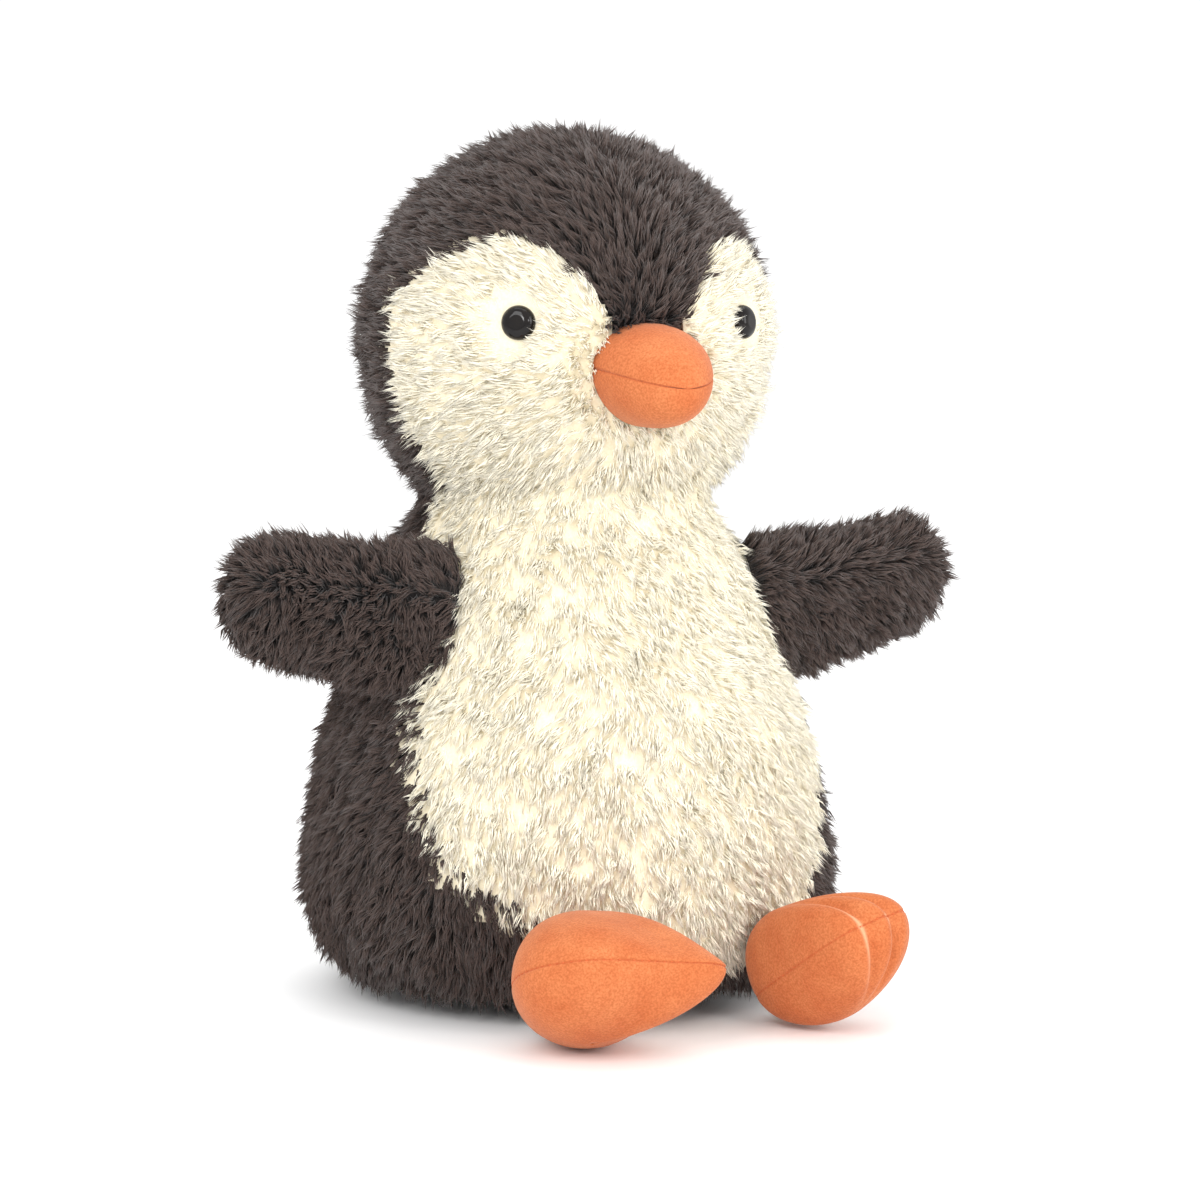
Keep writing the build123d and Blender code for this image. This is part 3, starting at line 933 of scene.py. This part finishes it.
def make_beak():
    """A blunt stuffed beak of two suede panels that meet in a level seam, which rises a
    little towards the sides."""
    root = np.array([0, beak_centre[1] + 5 * MM, beak_low.z])
    reach = abs(beak_low.y) - abs(root[1]) - 0.6 * MM
    steps = np.sin(np.linspace(0, 0.5 * math.pi, 60))
    angle = np.linspace(0, 2 * math.pi, 240, endpoint=False)
    fade = np.maximum((1 - steps**2.4).clip(0) ** 0.47, 0.004)
    fade_wide = np.maximum((1 - steps**2.05).clip(0) ** 0.5, 0.004)
    drop = -3.0 * MM * steps**1.6
    seam_rise = (1.7 - 0.9 * steps) * MM * fade
    rim_x, rim_z = np.cos(angle), np.sin(angle)
    pinch_depth = 0.02
    pinch = 1 - pinch_depth * np.exp(-((rim_z / 0.035) ** 2))
    groove = 0.5 * MM * (1 - pinch) / pinch_depth * steps[:, None] ** 8
    grid = np.zeros((len(steps), len(angle), 3))
    grid[:, :, 0] = (beak_half_width - 0.4 * MM) * fade_wide[:, None] * rim_x * pinch
    grid[:, :, 1] = root[1] - (reach * steps)[:, None] + groove
    grid[:, :, 2] = root[2] + (beak_half_height + 1.0 * MM) * fade[:, None] * rim_z + drop[:, None]
    grid[:, :, 2] += seam_rise[:, None] * rim_x**2
    surface = Surface(grid, lambda points: points * [0, 1, 0] + [0, 0, root[2]])
    from_seam = (np.abs(rim_z) * fade[:, None]).ravel() * beak_half_height
    on_top = np.tile(angle < math.pi, len(steps) - 1)
    for skin, chosen in (("upper", on_top), ("lower", ~on_top)):
        panel = suede_panel(f"beak_{skin}_suede", surface, chosen, from_seam, from_seam * 0)
        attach(panel, "head")
        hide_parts(f"beak_{skin}")
    half = len(angle) // 2
    line = np.concatenate([grid[8:-1, 0], grid[8:-1, half][::-1]])
    normals = unit(line - (root + [0, -reach * 0.3, 0]))
    chosen = even_places(line, 1.5 * MM)
    chosen = chosen[line[chosen][:, 1] < grid[8, 0, 1] - 0.1 * MM]
    stitches = stitch_row("beak_stitches", line[chosen] - normals[chosen] * 0.12 * MM,
                          normals[chosen], 0.8 * MM, 0.13 * MM, materials["thread"])
    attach(stitches, "head")
    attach(fill_surface("beak_stuffing", surface, centre=root - [0, reach / 3, 0]), "head")


# ---------------------------------------------------------------- filling


def fill_surface(name, surface, centre=None, chosen=None):
    """Loose fibre inside a cloth surface, or inside the chosen stretch of it. It is drawn
    in towards its centre, or evenly where it has none."""
    if centre is None:
        points = surface.points - surface.normals * 1.6 * MM
    else:
        points = centre + (surface.points - centre) * 0.88
    points = points + surface.normals * 0.3 * MM * sway(points, 7 * MM, 43)[:, :1]
    quads = surface.quads if chosen is None else surface.quads[chosen]
    used, faces = np.unique(quads, return_inverse=True)
    piece = mesh_object(f"{name}_fibre", points[used], faces.reshape(-1, 4))
    shape = bmesh.new()
    shape.from_mesh(piece.data)
    bmesh.ops.holes_fill(shape, edges=[edge for edge in shape.edges if edge.is_boundary])
    shape.to_mesh(piece.data)
    shape.free()
    piece.data.materials.append(materials["fibre"])
    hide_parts(name)
    return piece


def make_filling(name, shrink, centre=None, share=1.0):
    """Loose fibre in place of a stuffing node: the same form, drawn in and lumpy. With a
    centre, it is also brought down to a share of its size about it."""
    piece = bpy.data.objects.new(f"{name}_fibre", nodes[name].data.copy())
    bpy.context.scene.collection.objects.link(piece)
    remesh = piece.modifiers.new("remesh", "REMESH")
    remesh.mode = "VOXEL"
    remesh.voxel_size = 1.5 * MM
    remesh.use_smooth_shade = True
    apply_modifiers(piece)
    mesh = piece.data
    points = np.zeros(len(mesh.vertices) * 3, np.float32)
    normals = np.zeros(len(mesh.vertices) * 3, np.float32)
    mesh.vertices.foreach_get("co", points)
    mesh.vertices.foreach_get("normal", normals)
    points, normals = points.reshape(-1, 3).astype(float), normals.reshape(-1, 3)
    lumps = 0.4 * MM * sway(points, 8 * MM, 41)[:, :1]
    if centre is not None:
        points = centre + (points - centre) * share
    points = points - normals * (shrink + lumps)
    mesh.vertices.foreach_set("co", points.astype(np.float32).ravel())
    mesh.materials.clear()
    mesh.materials.append(materials["fibre"])
    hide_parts(name)
    return piece


# ---------------------------------------------------------------- the object

materials = {
    "cream_fur": fur_material(
        "cream_fur",
        # Root to tip: darker and warmer at the root as painted shade between the locks.
        [(0.0, (0.93, 0.85, 0.66)), (0.4, (0.955, 0.90, 0.75)), (0.9, (0.96, 0.915, 0.795))],
        [(0.0, (0.97, 0.96, 0.93)), (0.5, (0.99, 0.985, 0.97)), (1.0, (1.0, 1.0, 1.0))],
        0.1,
    ),
    "dark_fur": fur_material(
        "dark_fur",
        # Root to tip: near black at the root as painted shade between the locks, brown-grey at the
        # tip.
        [(0.0, (0.017, 0.011, 0.009)), (0.4, (0.050, 0.034, 0.029)), (0.9, (0.130, 0.094, 0.083))],
        [(0.0, (0.50, 0.46, 0.44)), (0.5, (0.85, 0.80, 0.77)), (1.0, (1.0, 1.0, 1.0))],
        0.15,
    ),
    # The backing cloth: its own colour, darkened below the fur roots as painted shade in the gaps
    # between locks.
    "cream_cloth": cloth_material("cream_cloth", (0.81, 0.735, 0.565), (0.75, 0.66, 0.475)),
    "dark_cloth": cloth_material("dark_cloth", (0.02, 0.016, 0.015), (0.01, 0.008, 0.008)),
    "suede": suede_material("orange_suede"),
    "thread": cloth_material("thread", (0.55, 0.12, 0.035), (0.40, 0.08, 0.02)),
    "eye": eye_material(),
    "fibre": cloth_material("fibre", (0.85, 0.85, 0.83), (0.7, 0.7, 0.68)),
    "pouch": cloth_material("pouch", (0.8, 0.8, 0.76), (0.65, 0.65, 0.6)),
    "plastic": cloth_material("plastic", (0.8, 0.8, 0.78), (0.7, 0.7, 0.68)),
}


def finish_cad_nodes():
    """Gives every carried-over CAD node its finish."""
    finishes = {"eye_washer": "plastic", "eye_": "eye", "bean_pouch": "pouch",
                "bean_fill": "plastic"}
    for name, node in nodes.items():
        for part, finish in finishes.items():
            if part in name:
                node.data.materials.clear()
                node.data.materials.append(materials[finish])
                break


make_camera()
make_studio()
finish_cad_nodes()
dress(body_surface(), "body", body_panels, body_flow, 3 * MM)
dress(head_surface(), "head", head_panels, head_flow, 0)
for side_name, side_sign in sides.items():
    make_wing(side_name, side_sign)
    make_foot(side_name, side_sign)
make_beak()
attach(make_filling("body_stuffing", 2.2 * MM), "body")
neck_pivot = np.array(joints["head_turn"]["pos_m"])
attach(make_filling("neck_stuffing", 2.2 * MM, neck_pivot, 0.82), "neck")
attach(make_filling("head_stuffing", 2.2 * MM, head_centre, 0.88), "head")
